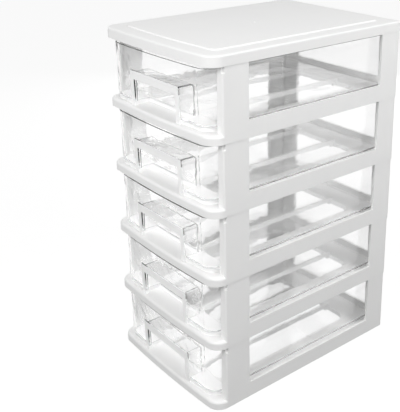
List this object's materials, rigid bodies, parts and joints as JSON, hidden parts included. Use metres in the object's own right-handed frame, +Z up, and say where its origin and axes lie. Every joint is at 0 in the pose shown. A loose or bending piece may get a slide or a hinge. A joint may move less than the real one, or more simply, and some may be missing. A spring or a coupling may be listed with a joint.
{
  "type": "plastic drawer tower",
  "caption": "Narrow desktop tower of stacked open white plastic frames under a lid, each with a clear bow-fronted drawer that slides out by a grip bar over a finger pocket.",
  "frame": {"origin": "middle of the tower's footprint, on the surface that it stands on", "axes": "+Z up, -Y the front that the drawers open to, +X to the right of someone facing the back from the front"},
  "size_m": [0.186, 0.262, 0.3822],
  "materials": {
    "white_plastic": "white injection-moulded polypropylene with a fine satin surface",
    "clear_plastic": "clear injection-moulded polystyrene, polished"
  },
  "bodies": {
    "root": {"lid": "white_plastic", "tier_frame_1": "white_plastic", "tier_frame_2": "white_plastic", "tier_frame_3": "white_plastic", "tier_frame_4": "white_plastic", "tier_frame_5": "white_plastic"},
    "sliding_drawer_1": {"drawer_1": "clear_plastic"},
    "sliding_drawer_2": {"drawer_2": "clear_plastic"},
    "sliding_drawer_3": {"drawer_3": "clear_plastic"},
    "sliding_drawer_4": {"drawer_4": "clear_plastic"},
    "sliding_drawer_5": {"drawer_5": "clear_plastic"}
  },
  "joints": [
    {"name": "drawer_1_slide", "type": "slide", "parent": "root", "child": "sliding_drawer_1", "axis": [0, -1, 0], "range_m": [0, 0.19]},
    {"name": "drawer_2_slide", "type": "slide", "parent": "root", "child": "sliding_drawer_2", "axis": [0, -1, 0], "range_m": [0, 0.19]},
    {"name": "drawer_3_slide", "type": "slide", "parent": "root", "child": "sliding_drawer_3", "axis": [0, -1, 0], "range_m": [0, 0.19]},
    {"name": "drawer_4_slide", "type": "slide", "parent": "root", "child": "sliding_drawer_4", "axis": [0, -1, 0], "range_m": [0, 0.19]},
    {"name": "drawer_5_slide", "type": "slide", "parent": "root", "child": "sliding_drawer_5", "axis": [0, -1, 0], "range_m": [0, 0.19]}
  ]
}
